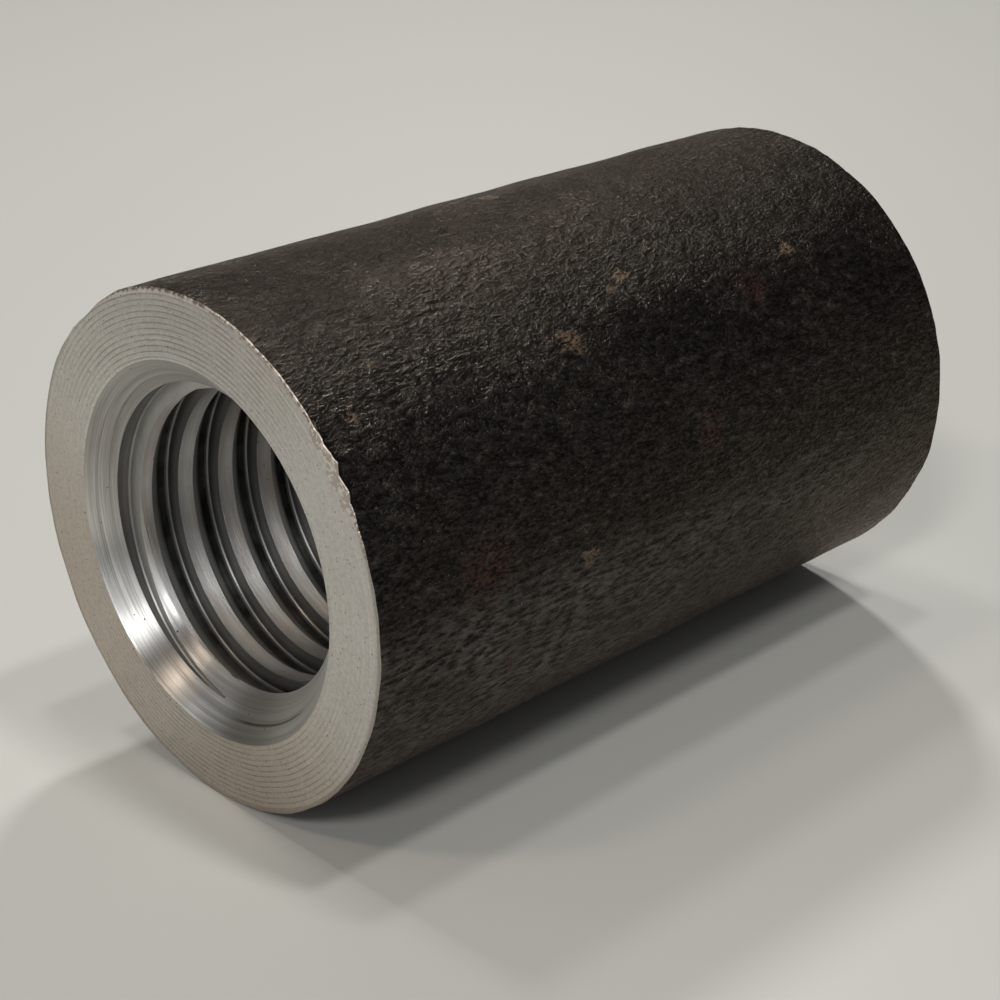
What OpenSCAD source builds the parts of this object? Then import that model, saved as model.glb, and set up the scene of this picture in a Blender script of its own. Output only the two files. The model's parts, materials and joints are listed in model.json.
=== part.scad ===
// Parallel-threaded rebar coupler: a plain steel sleeve, bored and threaded right through, that joins two
// threaded bar ends. It stands on its lower face, with the bore along +Z.

/* [Sleeve] */
// Outer diameter of the sleeve
sleeve_d = 25.6; // [22:0.1:34]
// Length of the sleeve from face to face
sleeve_len = 41; // [30:0.5:60]

/* [Thread] */
// Diameter of the bore across the thread crests
crest_d = 14.85; // [14:0.05:15.6]
// Diameter across the bottom of the thread groove
root_d = 16.5; // [16.2:0.05:18]
// Axial rise of the thread in one turn
pitch = 2.5; // [2.2:0.05:3.5]
// Width of the flat crest between two turns of the groove
crest_w = 1.08; // [0.7:0.02:1.2]
// Width of the flat bottom of the groove
root_w = 0.52; // [0.2:0.02:0.7]
// Lean of the steep lower flank from square to the axis
steep_lean = 5; // [0:1:12]
// Turn of the whole thread about the axis
thread_turn = 155; // [-180:1:180]

/* [Mouths] */
// Diameter of the countersink where it meets each end face
mouth_d = 18.9; // [18.2:0.1:21]
// Included angle of each countersink
mouth_angle = 90; // [60:5:120]

/* [Hidden] */
// Facets in one turn of the thread groove
turn_facets = 24;
$fn = 96;

// Small amount by which a cutter passes the face that it opens
over = 0.5;

crest_r = crest_d / 2;
root_r = root_d / 2;
mouth_r = mouth_d / 2;
mouth_depth = (mouth_r - crest_r) / tan(mouth_angle / 2);

// Groove section, measured up from the foot of its steep flank on the crest cylinder
thread_depth = root_r - crest_r;
steep_rise = thread_depth * tan(steep_lean);
groove_w = pitch - crest_w;
slope_rise = groove_w - steep_rise - root_w;
slope_rate = slope_rise / thread_depth;

// The cutter reaches in past the crest cylinder and keeps both flanks straight
groove_section = [
    [crest_r - over, -over * tan(steep_lean)],
    [root_r, steep_rise],
    [root_r, steep_rise + root_w],
    [crest_r - over, groove_w + over * slope_rate]
];

// Solid swept by a section [radius, height] that climbs a right-hand helix
module helix_sweep(section, rise, turns, facets) {
    sides = len(section);
    stations = ceil(turns * facets);
    points = [
        for (i = [0 : stations], p = section)
            let (a = 360 * i / facets)
            [p[0] * cos(a), p[0] * sin(a), p[1] + rise * i / facets]
    ];
    walls = [
        for (i = [0 : stations - 1], j = [0 : sides - 1])
            let (a = i * sides + j, b = i * sides + (j + 1) % sides)
            each [[a, b, b + sides], [a, b + sides, a + sides]]
    ];
    foot = [for (j = [sides - 1 : -1 : 0]) j];
    head = [for (j = [0 : sides - 1]) stations * sides + j];
    polyhedron(points = points, faces = concat(walls, [foot, head]), convexity = 20);
}

// Groove of the thread, running out past both end faces
module thread_groove() {
    turns = sleeve_len / pitch + 3;
    translate([0, 0, -2 * pitch])
        rotate([0, 0, thread_turn])
            helix_sweep(groove_section, pitch, turns, turn_facets);
}

// Bore at the crest diameter, opened by a countersink at each mouth
module bore() {
    flare = over * tan(mouth_angle / 2);
    rotate_extrude()
        polygon([
            [0, -over],
            [mouth_r + flare, -over],
            [crest_r, mouth_depth],
            [crest_r, sleeve_len - mouth_depth],
            [mouth_r + flare, sleeve_len + over],
            [0, sleeve_len + over]
        ]);
}

module coupler() {
    color([0.22, 0.19, 0.17])
        difference() {
            cylinder(h = sleeve_len, d = sleeve_d);
            bore();
            thread_groove();
        }
}

coupler();
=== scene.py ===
import json
import math

import bmesh
import bpy
import numpy as np
from mathutils import Matrix, Vector, noise


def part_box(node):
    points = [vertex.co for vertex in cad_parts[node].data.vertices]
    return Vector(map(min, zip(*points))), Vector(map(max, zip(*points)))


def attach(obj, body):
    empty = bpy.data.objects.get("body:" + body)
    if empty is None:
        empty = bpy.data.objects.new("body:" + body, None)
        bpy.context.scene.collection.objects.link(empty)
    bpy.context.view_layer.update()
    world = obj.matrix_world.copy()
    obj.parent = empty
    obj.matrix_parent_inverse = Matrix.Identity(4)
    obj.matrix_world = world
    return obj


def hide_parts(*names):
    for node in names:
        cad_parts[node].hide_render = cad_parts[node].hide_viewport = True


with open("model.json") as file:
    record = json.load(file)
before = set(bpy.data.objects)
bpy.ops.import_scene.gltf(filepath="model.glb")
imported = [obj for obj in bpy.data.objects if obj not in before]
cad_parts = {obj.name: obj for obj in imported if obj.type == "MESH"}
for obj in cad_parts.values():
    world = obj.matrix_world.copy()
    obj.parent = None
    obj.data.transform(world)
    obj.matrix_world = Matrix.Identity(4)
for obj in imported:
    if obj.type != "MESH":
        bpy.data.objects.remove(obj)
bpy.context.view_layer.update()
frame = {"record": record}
print("frame loaded")

# sizes that the frame gives, in metres
partLow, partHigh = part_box("coupler")
sleeveRadius = (partHigh.x - partLow.x) / 2
sleeveLength = partHigh.z - partLow.z
mounts = {mount["name"]: mount for mount in frame["record"]["mounts"]}
crestRadius = mounts["upper_thread"]["dims"]["r_mm"] / 1000
coneDepth = (sleeveLength - mounts["upper_thread"]["dims"]["length_mm"] / 1000) / 2
rimRadius = crestRadius + coneDepth  # the countersinks are cut at 45 degrees

# vertices round the sleeve, the same in every row so that the rows of all surfaces meet
meshing = {
    "columns": 216,
    "crowding": 0.35,  # the columns stand closer together on the side with the torn edge
    "crowdAt": -104,
    "sharpAngle": 28,
    "mergeWithin": 0.000001,
}
columns = meshing["columns"]


def roundAngle():
    even = np.arange(columns) * 2 * math.pi / columns
    centre = math.radians(meshing["crowdAt"])
    return even - meshing["crowding"] * (np.sin(even - centre) + math.sin(centre))


def roundPoint(radius, angle, height):
    return np.stack([radius * np.cos(angle), radius * np.sin(angle), height], axis=-1)


def roundDirection(turn, rise):
    # direction from the sleeve: turn round its axis from +X, rise above its end face, in degrees
    turn, rise = math.radians(turn), math.radians(rise)
    return Vector((math.cos(turn) * math.cos(rise), math.sin(turn) * math.cos(rise), math.sin(rise)))


def angleNear(angle, centre, halfWidth):
    # 1 at the centre of an arc, falling smoothly to 0 at its ends, all in degrees
    gap = (np.degrees(angle) - centre + 180) % 360 - 180
    return np.clip(1 - (gap / halfWidth) ** 2, 0, 1) ** 2


thread = {
    "pitch": 0.0025,
    "upperEdge": 0.000432,  # height of a groove's upper edge over +X, less whole turns
    "rootRadius": 0.00826,
    "slope": 0.00099,  # how far the sloping flank drops
    "root": 0.00054,
    "steep": 0.00007,
    "setbacks": (0.00003, 0.00012, 0.00019, 0.00001),  # rounding of the four corners, from the top
    "leadWiden": 0.00022,  # the first turn of groove is cut a little wider
    "leadDepth": 0.0022,
    "leadFade": 0.0012,
    "widenInset": 0.0003,  # the widening moves the lower part of the root and the steep flank
    "widenPast": 0.0004,
    "nick": 0.00012,
    "nickEvery": 9.0,  # how often the upper edge is nicked
    "nickOver": 0.3,
    "nickReach": 0.00005,
    "pastLand": 0.00003,  # a face this much deeper than the lands or a countersink is in the groove
    "pastCone": 0.00001,
}


def softCorner(before, corner, after, setback, steps):
    # points of a rounded corner, from one edge to the next
    corner = np.array(corner)
    toBefore = np.array(before) - corner
    toAfter = np.array(after) - corner
    start = corner + toBefore * min(setback / np.linalg.norm(toBefore), 0.45)
    end = corner + toAfter * min(setback / np.linalg.norm(toAfter), 0.45)
    along = [i / steps for i in range(steps + 1)]
    return [start * (1 - t) ** 2 + corner * 2 * t * (1 - t) + end * t * t for t in along]


def grooveSection():
    # one turn of the section as (drop from the groove's upper edge, radius)
    rootTop = thread["slope"]
    rootEnd = rootTop + thread["root"]
    foot = rootEnd + thread["steep"]
    rootRadius = thread["rootRadius"]
    corners = [(0, crestRadius), (rootTop, rootRadius), (rootEnd, rootRadius), (foot, crestRadius)]
    before = [(foot - thread["pitch"], crestRadius)] + corners[:-1]
    after = corners[1:] + [(thread["pitch"], crestRadius)]
    section = []
    for i, steps in enumerate((1, 2, 3, 1)):
        section += softCorner(before[i], corners[i], after[i], thread["setbacks"][i], steps)
    section.append(np.array([(foot + thread["pitch"]) / 2, crestRadius]))
    return section


def coneRadius(height):
    # radius of whichever countersink is nearer
    depth = np.minimum(height, sleeveLength - height)
    return rimRadius - depth


def nicksRound(angle, turn):
    # small dents along a groove's upper edge, deeper where the noise peaks
    spread = thread["nickEvery"]
    places = [(math.cos(a) * spread, math.sin(a) * spread, turn * 3.7) for a in angle]
    peaks = np.array([noise.noise(Vector(place)) for place in places])
    return thread["nick"] * np.clip(peaks - thread["nickOver"], 0, 1)


def boreGrid():
    # rows climb the bore along the helix, so that every edge of the groove is a true edge
    section = grooveSection()[::-1]
    turns = range(-2, int(sleeveLength / thread["pitch"]) + 4)
    angle = roundAngle()
    widenFrom = thread["slope"] + thread["widenInset"]
    widenTo = thread["slope"] + thread["root"] + thread["widenPast"]
    rows, radii = [], []
    for turn in turns:
        upper = thread["upperEdge"] + thread["pitch"] * (turn + angle / (2 * math.pi))
        depth = sleeveLength - upper
        lead = np.clip((thread["leadDepth"] - depth) / thread["leadFade"], 0, 1)
        widen = thread["leadWiden"] * lead
        nicks = nicksRound(angle, turn)
        for drop, radius in section:
            height = upper - drop
            if widenFrom < drop < widenTo:
                height = height - widen
            rows.append(height)
            radii.append(radius + nicks * (abs(drop) < thread["nickReach"]))
    height, radius = np.array(rows), np.array(radii)
    height = np.maximum.accumulate(height, axis=0)

    # where a countersink cuts a row off, its last vertex slides to the edge that they share
    over = coneRadius(height) - radius
    low, high = over[:-1], over[1:]
    share = low / np.where(low == high, 1, low - high)
    crossing = height[:-1] + share * (height[1:] - height[:-1])
    leaving = (low > 0) & (high <= 0)
    entering = (low <= 0) & (high > 0)
    height[:-1] = np.where(leaving, crossing, height[:-1])
    height[1:] = np.where(entering, crossing, height[1:])
    radius = np.maximum(radius, coneRadius(height))
    clear = coneDepth * 0.45
    height = np.clip(height, clear, sleeveLength - clear)
    radius = np.maximum(radius, coneRadius(height))
    ended = (height <= clear) | (height >= sleeveLength - clear)
    radius = np.where(ended, rimRadius - clear, radius)
    return roundPoint(radius, angle, height), len(section), clear


def mouthGrid(clear, steps=5):
    # countersink from the last threaded row out to its rim, at the lower end
    angle = roundAngle()
    depths = np.linspace(clear, edge["worn"], steps + 1)
    return np.array([roundPoint(rimRadius - d, angle, np.full(columns, d)) for d in depths])


skin = {
    "rows": 160,
    "lump": 0.00006,
    "lumpScale": (0.5, 0.5, 0.2),  # features in a millimetre, fewer along the bar
    "ripple": 0.000035,
    "rippleScale": (1.7, 1.7, 0.6),
    "flat": 0.00018,  # a low place in the upper edge
    "flatAt": 8,
    "flatHalf": 16,
    "flatLength": 0.009,
}

edge = {
    "worn": 0.00004,  # how far every corner of the end faces is broken
    "bead": 0.000035,  # rolled-over burr along part of the upper edge
    "beadWidth": 0.00009,
    "beadSection": ((1.3, 0.7), (0.7, 1.0), (0.0, 0.4)),  # insets in widths, and heights there
    "beadAt": -50,
    "beadHalf": 46,
    "beadGaps": 30,  # noise features in each radian of the rim
    "torn": 0.00032,  # torn burr, which stands out past the skin
    "tornAt": -84,
    "tornHalf": 13,
    "tornTeeth": 26,
    "stray": 0.00005,  # single teeth farther round
    "strayHalf": 60,
    "strayTeeth": 17,
}


def skinOffset(angle, height):
    # hot-rolled surface: low lumps drawn out along the bar
    offsets = np.zeros(len(angle))
    for i, place in enumerate(roundPoint(sleeveRadius, angle, np.full(len(angle), height)) * 1000):
        lump = noise.noise(Vector(place * skin["lumpScale"]))
        ripple = noise.noise(Vector(place * skin["rippleScale"] + [0, 0, 7]))
        offsets[i] = skin["lump"] * lump + skin["ripple"] * ripple
    fade = np.clip(1 - (sleeveLength - height) / skin["flatLength"], 0, 1)
    return offsets - skin["flat"] * fade * angleNear(angle, skin["flatAt"], skin["flatHalf"])


def rimNoise(angle, features, seed):
    return np.array([noise.noise(Vector((a * features, seed, 0))) for a in angle])


def tornEdge(angle):
    # ragged teeth along the torn stretch, and a few small ones beyond it
    teeth = np.clip(0.5 + 1.2 * rimNoise(angle, edge["tornTeeth"], 3.3), 0, 1)
    stray = np.clip(rimNoise(angle, edge["strayTeeth"], 8.1), 0, 1)
    torn = edge["torn"] * angleNear(angle, edge["tornAt"], edge["tornHalf"]) * teeth
    return torn + edge["stray"] * angleNear(angle, edge["beadAt"], edge["strayHalf"]) * stray


def skinGrid():
    # rows up the outside; the first and last are set in a little, as the corners are worn
    angle = roundAngle()
    inner = np.linspace(edge["worn"], sleeveLength - edge["worn"], skin["rows"] + 1)
    rows = []
    for i, height in enumerate(inner):
        radius = sleeveRadius + skinOffset(angle, height)
        if i == skin["rows"]:
            radius = radius + tornEdge(angle)
        rows.append(roundPoint(radius, angle, np.full(columns, height)))
    return np.array(rows)


def faceGrid(outerRow, upper, steps=9):
    # end face from the countersink's rim out to the skin's own edge
    angle = roundAngle()
    outer = np.linalg.norm(outerRow[:, :2], axis=1)
    level = sleeveLength if upper else 0.0
    bead = edge["bead"] if upper else 0.0
    flatEnd = outer - edge["worn"]
    flatStart = rimRadius + edge["worn"]
    inside = edge["worn"] * (-1 if upper else 1)
    rows = [roundPoint(rimRadius - edge["worn"], angle, np.full(columns, level + inside))]
    for i in range(steps + 1):
        radius = flatStart + (flatEnd - 2 * edge["beadWidth"] - flatStart) * i / steps
        rows.append(roundPoint(radius, angle, np.full(columns, level)))
    crumbs = np.clip(0.6 + rimNoise(angle, edge["beadGaps"], 5.7), 0, 1.2)
    beadTop = bead * angleNear(angle, edge["beadAt"], edge["beadHalf"]) * crumbs
    for inset, rise in edge["beadSection"]:
        radius = flatEnd - inset * edge["beadWidth"]
        rows.append(roundPoint(radius, angle, level + rise * beadTop))
    rows.append(outerRow)
    return np.array(rows)


def inGroove(points, face):
    # whether a face of the bore lies in the thread's groove, past the lands and the countersinks
    middle = sum((Vector(points[i]) for i in face), Vector()) / len(face)
    radius = math.hypot(middle.x, middle.y)
    pastLand = radius > crestRadius + thread["pastLand"]
    return pastLand and radius > coneRadius(middle.z) + thread["pastCone"]


def gridFaces(first, rowCount, shift=0):
    # quads of a closed grid; shift joins each row to a later one after a full turn
    faces = []
    for row in range(rowCount - 1):
        base = first + row * columns
        for column in range(columns - 1):
            a = base + column
            faces.append((a, a + 1, a + 1 + columns, a + columns))
        if row + 1 + shift < rowCount:
            a = base + columns - 1
            b = first + (row + shift) * columns
            faces.append((a, b, b + columns, a + columns))
    return faces


def buildSleeve(materials):
    bore, rowsInTurn, clear = boreGrid()
    mouth = mouthGrid(clear)
    upperMouth = mouth * [1, 1, -1] + [0, 0, sleeveLength]
    outside = skinGrid()
    lowerFace = faceGrid(outside[0], False)
    upperFace = faceGrid(outside[-1], True)
    scale, faced, bored, groove = range(len(materials))
    # each surface: points, material, whether its rows run the other way round, shift at the seam
    surfaces = [
        (bore, bored, True, rowsInTurn),
        (mouth, bored, False, 0),
        (upperMouth, bored, True, 0),
        (lowerFace, faced, True, 0),
        (upperFace, faced, False, 0),
        (outside, scale, False, 0),
    ]
    points, faces, kinds = [], [], []
    for surface, kind, flip, shift in surfaces:
        made = gridFaces(len(points), len(surface), shift)
        if flip:
            made = [face[::-1] for face in made]
        points.extend(surface.reshape(-1, 3).tolist())
        faces.extend(made)
        kinds.extend([groove if shift and inGroove(points, face) else kind for face in made])
    mesh = bpy.data.meshes.new("sleeve")
    mesh.from_pydata(points, [], faces)
    mesh.polygons.foreach_set("material_index", kinds)
    for material in materials:
        mesh.materials.append(material)
    work = bmesh.new()
    work.from_mesh(mesh)
    bmesh.ops.remove_doubles(work, verts=work.verts, dist=meshing["mergeWithin"])
    bmesh.ops.dissolve_degenerate(work, edges=work.edges, dist=meshing["mergeWithin"])
    work.to_mesh(mesh)
    work.free()
    mesh.shade_smooth()
    mesh.set_sharp_from_angle(angle=math.radians(meshing["sharpAngle"]))
    sleeve = bpy.data.objects.new("sleeve", mesh)
    bpy.context.collection.objects.link(sleeve)
    triangles = sum(len(p.vertices) - 2 for p in mesh.polygons)
    print("sleeve built:", len(mesh.vertices), "vertices,", triangles, "triangles")
    return sleeve


def put(tree, kind, inputs=None, **settings):
    # one node, with its inputs given by name or number as values or as other nodes' outputs
    node = tree.nodes.new(kind)
    for name, value in settings.items():
        setattr(node, name, value)
    for key, value in (inputs or {}).items():
        if isinstance(value, bpy.types.NodeSocket):
            tree.links.new(value, node.inputs[key])
        else:
            node.inputs[key].default_value = value
    return node


def count(tree, operation, *values):
    return put(tree, "ShaderNodeMath", dict(enumerate(values)), operation=operation).outputs[0]


def countVector(tree, operation, *values):
    node = put(tree, "ShaderNodeVectorMath", dict(enumerate(values)), operation=operation)
    return node.outputs["Value" if operation in ("LENGTH", "DISTANCE", "DOT_PRODUCT") else "Vector"]


def stretched(tree, vector, across, along):
    # place counted in features of the given size, in metres, across the bar and along it
    return countVector(tree, "MULTIPLY", vector, (1 / across, 1 / across, 1 / along))


def heightOf(tree, place):
    return put(tree, "ShaderNodeSeparateXYZ", {0: place}).outputs[2]


def radiusOf(tree, place):
    return countVector(tree, "LENGTH", countVector(tree, "MULTIPLY", place, (1, 1, 0)))


def grain(tree, vector, detail=2.0, scale=1.0, roughness=0.5):
    inputs = {"Vector": vector, "Scale": scale, "Detail": detail, "Roughness": roughness}
    return put(tree, "ShaderNodeTexNoise", inputs).outputs[0]


def remap(tree, value, low, high, newLow=0.0, newHigh=1.0):
    inputs = {"Value": value, "From Min": low, "From Max": high, "To Min": newLow, "To Max": newHigh}
    return put(tree, "ShaderNodeMapRange", inputs, clamp=True).outputs[0]


def tinted(tree, share, under, over):
    return put(tree, "ShaderNodeMix", {0: share, 6: under, 7: over}, data_type="RGBA").outputs[2]


def bumped(tree, height, distance, before=None):
    inputs = {"Height": height, "Distance": distance, "Strength": 1.0}
    if before is not None:
        inputs["Normal"] = before
    return put(tree, "ShaderNodeBump", inputs).outputs[0]


def newGroup(name, inputs, outputs):
    group = bpy.data.node_groups.new(name, "ShaderNodeTree")
    for label, kind, value in inputs:
        socket = group.interface.new_socket(label, in_out="INPUT", socket_type="NodeSocket" + kind)
        if value is not None:
            socket.default_value = value
    for label in outputs:
        group.interface.new_socket(label, in_out="OUTPUT", socket_type="NodeSocketFloat")
    given = group.nodes.new("NodeGroupInput").outputs
    made = group.nodes.new("NodeGroupOutput").inputs
    return group, given, made


def makeToolLines():
    # fine tool lines: the vector runs fast across them and slowly along them
    sockets = [("Vector", "Vector", None), ("Coarse", "Float", 0.5)]
    group, given, made = newGroup("toolLines", sockets, ["Height", "Shade"])
    fine = grain(group, given["Vector"], detail=3.0)
    wide = grain(group, given["Vector"], scale=0.3)
    both = put(group, "ShaderNodeMix", {0: given["Coarse"], 2: fine, 3: wide}).outputs[0]
    group.links.new(both, made["Height"])
    group.links.new(remap(group, both, 0.32, 0.68), made["Shade"])
    return group


def makeBlotches():
    # soft-edged patches of a given size; Cover is the share of the surface under them
    sockets = [
        ("Vector", "Vector", None),
        ("Size", "Float", 0.002),
        ("Cover", "Float", 0.5),
        ("Soft", "Float", 0.1),
    ]
    group, given, made = newGroup("blotches", sockets, ["Mask"])
    scale = count(group, "DIVIDE", 1.0, given["Size"])
    patches = grain(group, given["Vector"], detail=4.0, scale=scale)
    middle = count(group, "MULTIPLY_ADD", given["Cover"], -0.5, 0.75)
    low = count(group, "SUBTRACT", middle, given["Soft"])
    high = count(group, "ADD", middle, given["Soft"])
    group.links.new(remap(group, patches, low, high), made["Mask"])
    return group


def makeSpecks():
    # scattered specks, in a share of the cells of a given size; Spread is their size within a cell
    sockets = [
        ("Vector", "Vector", None),
        ("Cell", "Float", 0.001),
        ("Share", "Float", 0.2),
        ("Spread", "Float", 0.3),
    ]
    group, given, made = newGroup("specks", sockets, ["Mask"])
    scale = count(group, "DIVIDE", 1.0, given["Cell"])
    cells = put(group, "ShaderNodeTexVoronoi", {"Vector": given["Vector"], "Scale": scale})
    pick = put(group, "ShaderNodeSeparateColor", {0: cells.outputs["Color"]})
    chosen = count(group, "LESS_THAN", pick.outputs[0], given["Share"])
    size = count(group, "MULTIPLY", given["Spread"], count(group, "ADD", pick.outputs[1], 0.4))
    spot = remap(group, cells.outputs["Distance"], size, 0.0)
    group.links.new(count(group, "MULTIPLY", spot, chosen), made["Mask"])
    return group


toolLines = makeToolLines()
blotches = makeBlotches()
specks = makeSpecks()


def effect(tree, group, **inputs):
    return put(tree, "ShaderNodeGroup", inputs, node_tree=group).outputs


def newMaterial(name):
    material = bpy.data.materials.new(name)
    material.use_nodes = True
    tree = material.node_tree
    place = tree.nodes.new("ShaderNodeTexCoord").outputs["Object"]
    return material, tree, tree.nodes["Principled BSDF"], place


def patchMask(tree, place, size, cover=0.4, soft=0.12, along=1.0):
    # blotches drawn out along the sleeve by the last number
    vector = stretched(tree, place, 1.0, along) if along != 1.0 else place
    return effect(tree, blotches, Vector=vector, Size=size, Cover=cover, Soft=soft)["Mask"]


def sideMask(tree, place, turn, halfWidth):
    # 1 on the side that faces a turn round the axis, falling to 0 at halfWidth, in degrees
    flat = countVector(tree, "NORMALIZE", countVector(tree, "MULTIPLY", place, (1, 1, 0)))
    toward = (math.cos(math.radians(turn)), math.sin(math.radians(turn)), 0)
    facing = countVector(tree, "DOT_PRODUCT", flat, toward)
    return remap(tree, facing, math.cos(math.radians(halfWidth)), 1.0)


def anySide(tree, place, sides):
    masks = [sideMask(tree, place, turn, halfWidth) for turn, halfWidth in sides]
    total = masks[0]
    for mask in masks[1:]:
        total = count(tree, "MAXIMUM", total, mask)
    return total


def spotsMask(tree, place, spots):
    # 1 in the middle of each spot on the skin, falling to 0 at its edge
    total = 0.0
    for turn, height, size in spots:
        centre = roundDirection(turn, 0) * sleeveRadius + Vector((0, 0, height))
        near = remap(tree, countVector(tree, "DISTANCE", place, centre), size, 0.0)
        total = count(tree, "MAXIMUM", near, total)
    return total


scaleLook = {
    "olive": (0.0060, 0.0051, 0.0039, 1),
    "brown": (0.0062, 0.0044, 0.0035, 1),
    "purple": (0.0056, 0.0043, 0.0041, 1),
    "ridge": (0.047, 0.0435, 0.0395, 1),
    "grey": (0.165, 0.160, 0.151, 1),
    "metal": 0.75,  # oxide scale shines much like a metal
    "rust": (0.13, 0.088, 0.052, 1),
    "red": (0.05, 0.011, 0.009, 1),
    "black": (0.0015, 0.0012, 0.001, 1),
    "sheen": (0.80, 0.69, 0.60, 1),
    "fineAcross": 0.00014,
    "fineAlong": 0.00026,
    "foldAcross": 0.00034,
    "foldAlong": 0.00075,
    "flakeAcross": 0.00021,
    "flakeAlong": 0.0007,
    "bump": 0.00016,
    "sway": 0.00022,  # how far the pattern is pushed about
    "swayScale": 900.0,
    "flakySide": -147,  # the side where the scale is worn grey
    "flakyHalf": 32,
    "flakyFoot": 0.12,  # how much of it is left at the lower end
    "rough": (0.4, 0.2),  # in the hollows and on the ridges
    "rustSpots": (  # turn, height, size
        (-75.6, 0.02568, 0.0010),
        (-64.7, 0.02014, 0.0007),
        (-66.5, 0.0214, 0.0005),
        (-75.6, 0.03901, 0.0005),
        (-71.1, 0.00887, 0.0007),
        (-120.0, 0.02805, 0.0008),
        (-22.0, 0.0205, 0.0009),
    ),
    "redSpots": (  # stained red, given in the same way
        (-113.7, 0.03441, 0.0024),
        (-139.9, 0.03254, 0.0012),
        (-78.0, 0.0126, 0.0012),
        (-104.0, 0.0190, 0.0014),
    ),
}


def millScaleMaterial():
    look = scaleLook
    material, tree, shader, place = newMaterial("millScale")
    sway = {"Vector": place, "Scale": look["swayScale"], "Detail": 1.0}
    sway = put(tree, "ShaderNodeTexNoise", sway).outputs["Color"]
    sway = countVector(tree, "SUBTRACT", sway, (0.5, 0.5, 0.5))
    sway = countVector(tree, "MULTIPLY", sway, (look["sway"],) * 3)
    swayed = countVector(tree, "ADD", place, sway)

    # the grey side is broken up, and fades towards the lower end
    flaky = remap(tree, sideMask(tree, place, look["flakySide"], look["flakyHalf"]), 0.0, 0.6)
    toFoot = remap(tree, heightOf(tree, place), 0.0, sleeveLength * 0.7, look["flakyFoot"], 1.0)
    flaky = count(tree, "MULTIPLY", flaky, toFoot)
    worn = patchMask(tree, place, 0.003, cover=0.55, along=2.0)
    flaky = count(tree, "MULTIPLY", flaky, remap(tree, worn, 0.0, 1.0, 0.35, 1.0))

    fineVector = stretched(tree, swayed, look["fineAcross"], look["fineAlong"])
    fine = grain(tree, fineVector, detail=3.0, roughness=0.6)
    folds = grain(tree, stretched(tree, swayed, look["foldAcross"], look["foldAlong"]))
    flakes = grain(tree, stretched(tree, swayed, look["flakeAcross"], look["flakeAlong"]))
    pitVector = stretched(tree, swayed, 1.0, 2.0)
    pits = effect(tree, specks, Vector=pitVector, Cell=0.0011, Share=0.22, Spread=0.16)["Mask"]
    calm = patchMask(tree, place, 0.004, along=1.6)
    relief = count(tree, "MULTIPLY", fine, remap(tree, calm, 0.0, 1.0, 1.0, 0.5))
    relief = count(tree, "MULTIPLY_ADD", folds, 0.9, relief)
    relief = count(tree, "MULTIPLY_ADD", flakes, count(tree, "MULTIPLY", flaky, 1.6), relief)
    relief = count(tree, "MULTIPLY_ADD", pits, -0.7, relief)

    patch = patchMask(tree, place, 0.0055, cover=0.5, soft=0.07)
    colour = tinted(tree, patch, look["olive"], look["brown"])
    colour = tinted(tree, calm, colour, look["purple"])
    # lighter ridge tops over darker hollows: worn ridges, and painted shade in the hollows
    wornRidgesShadedHollows = remap(tree, count(tree, "MULTIPLY_ADD", folds, 0.6, fine), 0.68, 0.98)
    colour = tinted(tree, wornRidgesShadedHollows, colour, look["ridge"])
    greyed = remap(tree, flaky, 0.0, 1.0, 0.03, 0.85)
    greyed = count(tree, "MULTIPLY", remap(tree, flakes, 0.38, 0.64), greyed)
    colour = tinted(tree, greyed, colour, look["grey"])
    red = spotsMask(tree, place, look["redSpots"])
    red = count(tree, "MULTIPLY", red, remap(tree, fine, 0.4, 0.6))
    colour = tinted(tree, red, colour, look["red"])
    rust = spotsMask(tree, swayed, look["rustSpots"])
    rust = count(tree, "ADD", rust, remap(tree, folds, 0.3, 0.7, -0.4, 0.2))
    rust = count(tree, "MULTIPLY", remap(tree, rust, 0.1, 0.4), remap(tree, fine, 0.42, 0.55))
    colour = tinted(tree, rust, colour, look["rust"])
    colour = tinted(tree, remap(tree, pits, 0.1, 0.7), colour, look["black"])
    tree.links.new(colour, shader.inputs["Base Color"])

    dull = count(tree, "MAXIMUM", rust, red)
    tree.links.new(remap(tree, dull, 0.0, 1.0, look["metal"], 0.0), shader.inputs["Metallic"])
    tree.links.new(remap(tree, fine, 0.45, 0.66, *look["rough"]), shader.inputs["Roughness"])
    shader.inputs["IOR"].default_value = 1.4
    shader.inputs["Specular Tint"].default_value = look["sheen"]
    tree.links.new(bumped(tree, relief, look["bump"]), shader.inputs["Normal"])
    return material


facedLook = {
    "steel": (0.72, 0.70, 0.672, 1),
    "brown": (0.53, 0.46, 0.38, 1),
    "groove": (0.22, 0.20, 0.18, 1),
    "pit": (0.05, 0.045, 0.04, 1),
    "crumbs": (0.25, 0.185, 0.15, 1),
    "crumbsOver": (0.76, 0.69, 0.64, 1),
    "ringStep": 0.000268,
    "ringHeight": 0.000012,
    "ringWaver": 1.2,  # how far a ring strays from its circle, in steps
    "lineScale": 21000.0,  # features of the finer lines in a metre
    "lineHeight": 0.000006,
    "mottleScale": 5200.0,
    "crumbScale": 5500.0,
    "burrHalf": 58,
    "rim": (0.00022, 0.0001),  # how far in from the skin the burr's colour starts and is full
    "spill": 0.00055,  # how much farther in it goes along the torn stretch
    "spillHalf": 11,
    "spillScale": 1800.0,
    "tornLight": 0.44,
    "rough": (0.42, 0.52),
    "brushed": 0.6,
    "ringSides": ((-20, 62), (150, 75)),  # turns round the face at which the rings show
    "brownSides": ((95, 60), (165, 50)),
}


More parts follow.
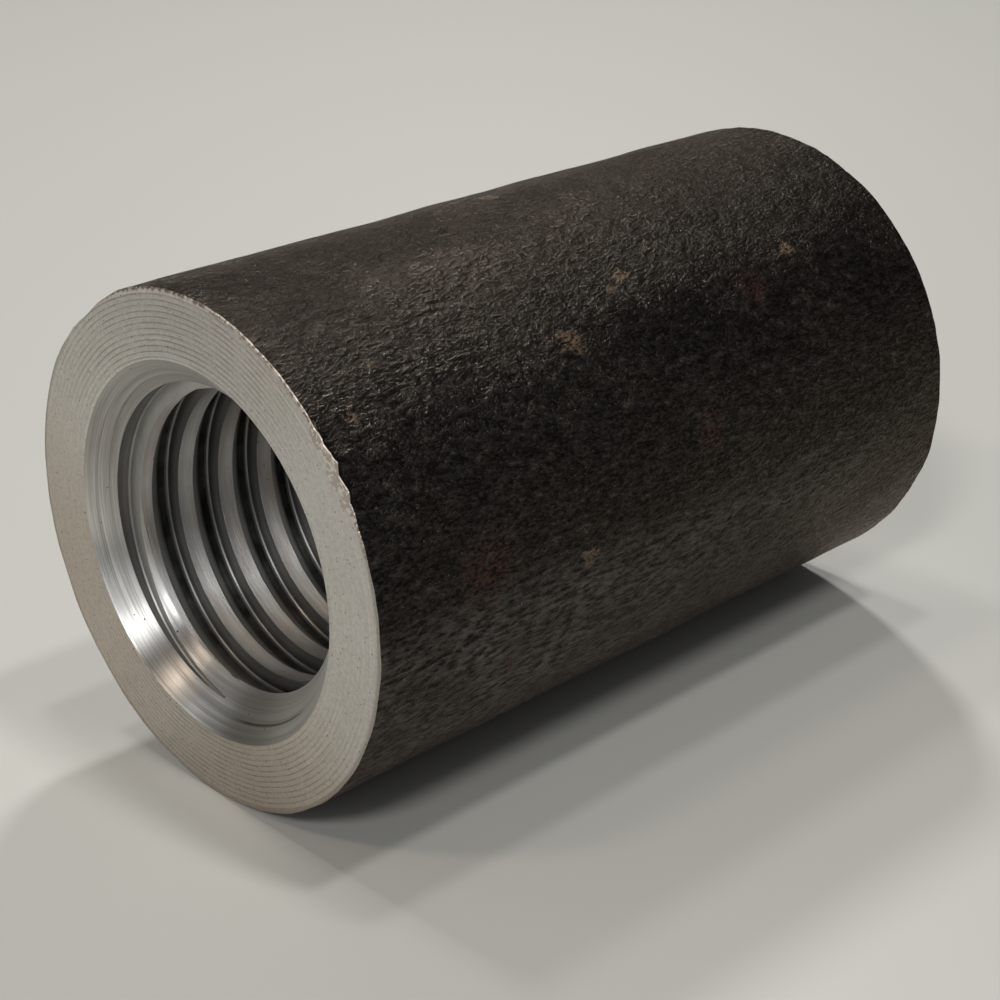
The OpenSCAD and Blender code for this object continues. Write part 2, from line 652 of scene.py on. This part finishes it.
def facedSteelMaterial():
    look = facedLook
    material, tree, shader, place = newMaterial("facedSteel")
    radius = radiusOf(tree, place)
    outward = countVector(tree, "NORMALIZE", countVector(tree, "MULTIPLY", place, (1, 1, 0)))

    # feed marks of the facing tool, which lie as rings
    waver = grain(tree, outward, scale=1.5)
    shifted = count(tree, "MULTIPLY_ADD", waver, look["ringStep"] * look["ringWaver"], radius)
    steps = count(tree, "FRACT", count(tree, "DIVIDE", shifted, look["ringStep"]))
    away = count(tree, "ABSOLUTE", count(tree, "SUBTRACT", steps, 0.5))
    valley = remap(tree, away, 0.2, 0.02)
    shown = remap(tree, anySide(tree, place, look["ringSides"]), 0.0, 0.7, 0.1, 1.0)
    broken = remap(tree, grain(tree, place, scale=900.0), 0.35, 0.6, 0.35, 1.0)
    valley = count(tree, "MULTIPLY", count(tree, "MULTIPLY", valley, shown), broken)

    # finer lines between them
    across = count(tree, "MULTIPLY", radius, look["lineScale"])
    across = put(tree, "ShaderNodeCombineXYZ", {0: across}).outputs[0]
    along = countVector(tree, "MULTIPLY", outward, (1.6, 1.6, 0))
    lineVector = countVector(tree, "ADD", across, along)
    lines = effect(tree, toolLines, Vector=lineVector, Coarse=0.3)

    lined = remap(tree, lines["Shade"], 0.0, 1.0, 0.0, 0.22)
    colour = tinted(tree, lined, look["steel"], look["groove"])
    stain = count(tree, "MULTIPLY", patchMask(tree, place, 0.009, cover=0.5, soft=0.2), 0.25)
    browned = count(tree, "MULTIPLY_ADD", anySide(tree, place, look["brownSides"]), 0.6, stain)
    colour = tinted(tree, browned, colour, look["brown"])
    mottled = grain(tree, place, scale=look["mottleScale"], detail=1.0)
    mottled = remap(tree, mottled, 0.4, 0.62, 0.0, 0.16)
    colour = tinted(tree, mottled, colour, look["groove"])
    colour = tinted(tree, count(tree, "MULTIPLY", valley, 0.6), colour, look["groove"])
    pits = effect(tree, specks, Vector=place, Cell=0.0002, Share=0.5, Spread=0.2)["Mask"]
    colour = tinted(tree, remap(tree, pits, 0.0, 0.5, 0.0, 0.7), colour, look["pit"])

    # the burr along the outer edge is crumbly, and lighter and wider where it is torn
    crumbs = grain(tree, place, scale=look["crumbScale"], detail=1.5)
    torn = remap(tree, sideMask(tree, place, edge["tornAt"], look["spillHalf"]), 0.0, 0.6)
    spill = remap(tree, grain(tree, place, scale=look["spillScale"]), 0.35, 0.6, 0.0, look["spill"])
    reach = count(tree, "MULTIPLY_ADD", torn, spill, radius)
    rim = remap(tree, reach, sleeveRadius - look["rim"][0], sleeveRadius - look["rim"][1])
    burr = remap(tree, sideMask(tree, place, edge["beadAt"], look["burrHalf"]), 0.0, 0.4)
    light = count(tree, "MULTIPLY", remap(tree, crumbs, 0.44, 0.58), burr)
    light = count(tree, "MAXIMUM", light, count(tree, "MULTIPLY", torn, look["tornLight"]))
    crumbColour = tinted(tree, light, look["crumbs"], look["crumbsOver"])
    cover = count(tree, "MULTIPLY", rim, remap(tree, burr, 0.0, 1.0, 0.5, 0.85))
    colour = tinted(tree, cover, colour, crumbColour)
    tree.links.new(colour, shader.inputs["Base Color"])
    shader.inputs["Metallic"].default_value = 1
    tree.links.new(remap(tree, lines["Shade"], 0.0, 1.0, *look["rough"]), shader.inputs["Roughness"])
    shader.inputs["Anisotropic"].default_value = look["brushed"]
    shader.inputs["Anisotropic Rotation"].default_value = 0.25
    sunk = count(tree, "MULTIPLY", valley, -1.0)
    height = count(tree, "MULTIPLY_ADD", count(tree, "MULTIPLY", rim, crumbs), 5.0, sunk)
    rings = bumped(tree, height, look["ringHeight"])
    normal = bumped(tree, lines["Height"], look["lineHeight"], rings)
    tree.links.new(normal, shader.inputs["Normal"])
    return material


# share of each turn that is land, and where it ends on the way up from a groove's upper edge
landShare = 1 - (thread["slope"] + thread["root"] + thread["steep"]) / thread["pitch"]


def threadPhase(tree, place):
    # 0 at a groove's upper edge, rising to 1 at the upper edge of the turn above it
    parts = put(tree, "ShaderNodeSeparateXYZ", {0: place}).outputs
    turn = count(tree, "DIVIDE", count(tree, "ARCTAN2", parts[1], parts[0]), 2 * math.pi)
    above = count(tree, "SUBTRACT", parts[2], thread["upperEdge"])
    climb = count(tree, "DIVIDE", above, thread["pitch"])
    return count(tree, "FRACT", count(tree, "SUBTRACT", climb, turn))


def pastMouth(tree, place):
    # how far inside the nearer countersink's foot, and less than 0 on the countersinks
    fromMiddle = count(tree, "SUBTRACT", heightOf(tree, place), sleeveLength / 2)
    return count(tree, "SUBTRACT", sleeveLength / 2 - coneDepth, count(tree, "ABSOLUTE", fromMiddle))


boredLook = {
    "steel": (0.96, 0.96, 0.94, 1),
    "line": (0.24, 0.235, 0.225, 1),
    "lineShare": (0.60, 0.30),  # on the countersinks and between them
    "stain": (0.52, 0.41, 0.34, 1),
    "stainShare": (0.15, 0.45),
    "pit": (0.05, 0.045, 0.04, 1),
    "lineAlong": 0.006,
    "lineAcross": 0.000045,
    "lineHeight": 0.000024,
    "rough": (0.34, 0.54),
    "brushed": 0.96,
    "threadLines": 3.0,  # how much deeper the tool's lines are between the countersinks
    "threadRough": 0.10,  # and how much rougher the steel is there
    "footDarkening": 0.32,  # how dark the lands are where a groove ends on them
    # colour of the painted shade on the countersinks
    "dull": (0.50, 0.49, 0.47, 1),
    "shadeSides": ((5, 78), (-168, 58)),  # turns round the countersinks at which painted shade darkens them
    "markRadius": 0.00867,  # a dark crescent line on the countersink
    "markWidth": 0.00009,
    "markAt": 176.6,
    "markHalf": 22,
}


def boredSteelMaterial():
    look = boredLook
    material, tree, shader, place = newMaterial("boredSteel")
    inThread = count(tree, "GREATER_THAN", pastMouth(tree, place), -0.00002)
    lineVector = stretched(tree, place, look["lineAlong"], look["lineAcross"])
    lines = effect(tree, toolLines, Vector=lineVector, Coarse=0.4)
    # painted shade darkens the countersinks on the listed sides
    coneShade = remap(tree, anySide(tree, place, look["shadeSides"]), 0.0, 0.75)
    coneShade = count(tree, "MULTIPLY", count(tree, "SUBTRACT", 0.9, inThread), coneShade)
    colour = tinted(tree, coneShade, look["steel"], look["dull"])
    lined = remap(tree, inThread, 0.0, 1.0, *look["lineShare"])
    colour = tinted(tree, count(tree, "MULTIPLY", lines["Shade"], lined), colour, look["line"])
    stained = remap(tree, inThread, 0.0, 1.0, *look["stainShare"])
    stained = count(tree, "MULTIPLY", patchMask(tree, place, 0.004, along=0.35), stained)
    colour = tinted(tree, stained, colour, look["stain"])
    # each land is drawn darker towards where a groove ends on it, in the pit colour
    foot = remap(tree, threadPhase(tree, place), landShare * 0.35, landShare, 0.0, look["footDarkening"])
    colour = tinted(tree, count(tree, "MULTIPLY", foot, inThread), colour, look["pit"])
    pits = effect(tree, specks, Vector=place, Cell=0.0004, Share=0.22, Spread=0.12)["Mask"]
    colour = tinted(tree, remap(tree, pits, 0.0, 0.5), colour, look["pit"])

    # the crescent, in the upper countersink alone
    away = count(tree, "SUBTRACT", radiusOf(tree, place), look["markRadius"])
    mark = remap(tree, count(tree, "ABSOLUTE", away), look["markWidth"], 0.0)
    high = count(tree, "GREATER_THAN", heightOf(tree, place), sleeveLength / 2)
    mark = count(tree, "MULTIPLY", mark, high)
    markSide = remap(tree, sideMask(tree, place, look["markAt"], look["markHalf"]), 0.0, 0.6)
    mark = count(tree, "MULTIPLY", mark, markSide)
    colour = tinted(tree, count(tree, "MULTIPLY", mark, 0.85), colour, look["pit"])
    tree.links.new(colour, shader.inputs["Base Color"])
    shader.inputs["Metallic"].default_value = 1

    rough = remap(tree, lines["Shade"], 0.0, 1.0, *look["rough"])
    rough = count(tree, "MULTIPLY_ADD", inThread, look["threadRough"], rough)
    tree.links.new(rough, shader.inputs["Roughness"])
    shader.inputs["Anisotropic"].default_value = look["brushed"]
    shader.inputs["Anisotropic Rotation"].default_value = 0.25
    deeper = remap(tree, inThread, 0.0, 1.0, 1.0, look["threadLines"])
    height = count(tree, "MULTIPLY", lines["Height"], deeper)
    height = count(tree, "MULTIPLY_ADD", mark, -1.5, height)
    tree.links.new(bumped(tree, height, look["lineHeight"]), shader.inputs["Normal"])
    return material


cutLook = {
    "steel": (0.46, 0.46, 0.445, 1),
    "line": (0.30, 0.295, 0.285, 1),
    "grooveShade": (0.028, 0.029, 0.026, 1),
    "lineAlong": 0.006,
    "lineAcross": 0.00007,
    "lineHeight": 0.000004,
    "rough": (0.36, 0.5),
    "brushed": 0.5,
    "patchScale": 900.0,
    "shadeFrom": 0.00775,  # radius at which the painted shade begins
    "shadeFull": 0.00815,
    "shadeMouthFade": 0.0014,  # the painted shade is lighter nearer the countersinks than this
    "glintHeight": 0.00016,  # a painted highlight lightens the root's corner, this far above the groove's foot
    "glintHalf": 0.00013,
}


def cutSteelMaterial():
    # the thread's groove, cut smoother than the bore, with painted shade at its root
    look = cutLook
    material, tree, shader, place = newMaterial("cutSteel")
    lineVector = stretched(tree, place, look["lineAlong"], look["lineAcross"])
    lines = effect(tree, toolLines, Vector=lineVector, Coarse=0.6)
    lined = remap(tree, lines["Shade"], 0.0, 1.0, 0.0, 0.6)
    colour = tinted(tree, lined, look["steel"], look["line"])

    # painted shade in the groove, lighter at the root's corner (a painted highlight), towards the
    # crests and near the countersinks
    above = count(tree, "SUBTRACT", threadPhase(tree, place), landShare)
    above = count(tree, "MULTIPLY", above, thread["pitch"])
    # painted highlight: the painted shade is lifted along the root's corner
    away = count(tree, "ABSOLUTE", count(tree, "SUBTRACT", above, look["glintHeight"]))
    shaded = remap(tree, away, look["glintHalf"] * 0.5, look["glintHalf"], 0.62, 1.0)
    # painted shade, growing deeper towards the root
    deep = remap(tree, radiusOf(tree, place), look["shadeFrom"], look["shadeFull"], 0.08, 1.0)
    shaded = count(tree, "MULTIPLY", shaded, deep)
    inside = pastMouth(tree, place)
    inside = remap(tree, inside, look["shadeMouthFade"] * 0.4, look["shadeMouthFade"], 0.4, 1.0)
    shaded = count(tree, "MULTIPLY", shaded, inside)
    patchy = remap(tree, grain(tree, place, scale=look["patchScale"]), 0.35, 0.65, 0.85, 1.0)
    colour = tinted(tree, count(tree, "MULTIPLY", shaded, patchy), colour, look["grooveShade"])
    tree.links.new(colour, shader.inputs["Base Color"])
    shader.inputs["Metallic"].default_value = 1
    tree.links.new(remap(tree, lines["Shade"], 0.0, 1.0, *look["rough"]), shader.inputs["Roughness"])
    shader.inputs["Anisotropic"].default_value = look["brushed"]
    shader.inputs["Anisotropic Rotation"].default_value = 0.25
    tree.links.new(bumped(tree, lines["Height"], look["lineHeight"]), shader.inputs["Normal"])
    return material


# the sleeve stands on its end but is looked at as if it lay on its side, so the camera is rolled
view = {
    "place": (0, -0.0822, 0.09037),
    "aim": (-0.002837, 0, 0.02282),
    "roll": -112.05,
    "lens": 73.37,
}


def buildCamera():
    data = bpy.data.cameras.new("camera")
    data.lens = view["lens"]
    data.sensor_width = 36
    data.clip_start = 0.005
    camera = bpy.data.objects.new("camera", data)
    bpy.context.collection.objects.link(camera)
    place, aim = Vector(view["place"]), Vector(view["aim"])
    upright = (aim - place).to_track_quat("-Z", "Y").to_matrix()
    roll = Matrix.Rotation(math.radians(view["roll"]), 3, "Z")
    camera.matrix_world = Matrix.Translation(place) @ (upright @ roll).to_4x4()
    bpy.context.scene.camera = camera


floorLook = {
    "upAngle": -30.6,  # turn round the sleeve that points away from the floor
    "gap": 1.003,  # the floor's distance from the axis, in sleeve radii, clear of the skin's lumps
    "size": 3.0,
    "colour": (0.60, 0.60, 0.565, 1),
}


def buildFloor():
    # the floor touches the sleeve's side, and is seen and lit from that side alone
    up = roundDirection(floorLook["upAngle"], 0)
    bpy.ops.mesh.primitive_plane_add(size=floorLook["size"])
    floor = bpy.context.object
    floor.name = "floor"
    turned = up.to_track_quat("Z", "Y").to_matrix().to_4x4()
    floor.matrix_world = Matrix.Translation(-up * sleeveRadius * floorLook["gap"]) @ turned
    material, tree, shader, _ = newMaterial("floor")
    shader.inputs["Base Color"].default_value = floorLook["colour"]
    shader.inputs["Roughness"].default_value = 0.5
    clear = put(tree, "ShaderNodeBsdfTransparent").outputs[0]
    behind = put(tree, "ShaderNodeNewGeometry").outputs["Backfacing"]
    mix = put(tree, "ShaderNodeMixShader", {0: behind, 1: shader.outputs[0], 2: clear})
    tree.links.new(mix.outputs[0], tree.nodes["Material Output"].inputs["Surface"])
    floor.data.materials.append(material)


lampsAimAt = 0.6  # how far up the sleeve, as a share of its length
lamps = [
    # name, turn, rise, distance, size, strength, colour
    ("near", -47, -7, 0.5, 0.045, 0.47, (1, 0.985, 0.96)),
    ("overhead", -28.6, -4, 0.4, 0.036, 0.195, (1, 0.985, 0.96)),
    ("back", -3, 3, 0.35, 0.036, 0.145, (1, 0.985, 0.96)),
    ("low", 8.4, -33, 0.45, 0.05, 0.6, (1, 0.99, 0.97)),
    ("side", 12, 35, 0.5, 0.3, 0.12, (1, 0.99, 0.98)),
    ("window", -61, 42, 0.8, 0.13, 1.65, (1, 0.99, 0.975)),
    ("front", -75, 60, 0.8, 0.48, 0.9, (1, 1, 1)),
    ("warm", -16, 40, 0.5, 0.06, 0.28, (1, 0.84, 0.68)),
]

worldLook = {
    "light": 0.055,
    "seen": 0.85,  # how bright it is behind the floor's edge
    "colour": (1, 0.985, 0.96, 1),
}


def buildLamps():
    middle = Vector((0, 0, sleeveLength * lampsAimAt))
    for name, turn, rise, distance, size, strength, colour in lamps:
        data = bpy.data.lights.new(name, "AREA")
        data.shape = "DISK"
        data.size = size
        data.energy = strength
        data.color = colour
        lamp = bpy.data.objects.new(name, data)
        bpy.context.collection.objects.link(lamp)
        toward = roundDirection(turn, rise)
        turned = toward.to_track_quat("Z", "Y").to_matrix().to_4x4()
        lamp.matrix_world = Matrix.Translation(middle + toward * distance) @ turned


def buildWorld():
    world = bpy.data.worlds.new("world")
    bpy.context.scene.world = world
    world.use_nodes = True
    tree = world.node_tree
    background = tree.nodes["Background"]
    seen = put(tree, "ShaderNodeLightPath").outputs["Is Camera Ray"]
    level = put(tree, "ShaderNodeMix", {0: seen, 2: worldLook["light"], 3: worldLook["seen"]})
    background.inputs["Color"].default_value = worldLook["colour"]
    tree.links.new(level.outputs[0], background.inputs["Strength"])


materials = [
    millScaleMaterial(),
    facedSteelMaterial(),
    boredSteelMaterial(),
    cutSteelMaterial(),
]
print("materials made:", len(materials))
sleeve = buildSleeve(materials)
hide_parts("coupler")
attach(sleeve, "root")
buildCamera()
buildFloor()
buildLamps()
buildWorld()
bpy.context.scene.view_settings.view_transform = "Standard"
print("camera, floor and lamps placed")
